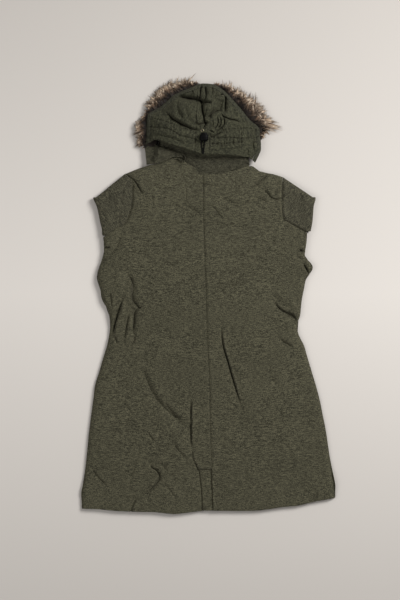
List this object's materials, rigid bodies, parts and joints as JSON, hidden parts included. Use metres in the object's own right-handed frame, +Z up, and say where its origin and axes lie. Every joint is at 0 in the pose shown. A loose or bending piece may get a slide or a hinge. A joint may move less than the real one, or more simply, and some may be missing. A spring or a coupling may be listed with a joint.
{
  "type": "fur trimmed parka",
  "caption": "Mid-thigh hooded parka laid flat, back uppermost, sleeves folded under, with fur round the hood and an open back vent.",
  "frame": {"origin": "middle of the overall outline, on the surface the coat lies on", "axes": "+X to the right as seen from above with the hood away from the viewer, +Y from hem to hood, +Z up from the surface, out of the back"},
  "size_m": [0.623, 1.0804, 0.0693],
  "materials": {
    "cloth": "olive and brown melange polyester canvas, matt",
    "cloth_front": "olive and brown melange polyester canvas, matt",
    "cloth_hood": "olive and brown melange polyester canvas, matt",
    "zip_tape": "woven polyester zip tape",
    "fur": "long pile acrylic fake fur, dark roots and tan tips",
    "brass": "antique brass plate",
    "black_plastic": "moulded black plastic",
    "cord": "round braided elastic cord"
  },
  "bodies": {
    "root": {"back_left": "cloth", "back_right": "cloth", "vent_underlap": "cloth", "front_left": "cloth_front", "front_right": "cloth_front", "front_zip": "zip_tape", "sleeve_left": "cloth", "sleeve_right": "cloth", "collar": "cloth", "collar_flap": "cloth", "hood_left": "cloth_hood", "hood_centre": "cloth_hood", "hood_right": "cloth_hood", "hood_brim": "cloth_hood", "fur_trim": "fur", "eyelet": "brass", "cord_lock": "black_plastic", "drawcord": "cord"}
  },
  "joints": []
}
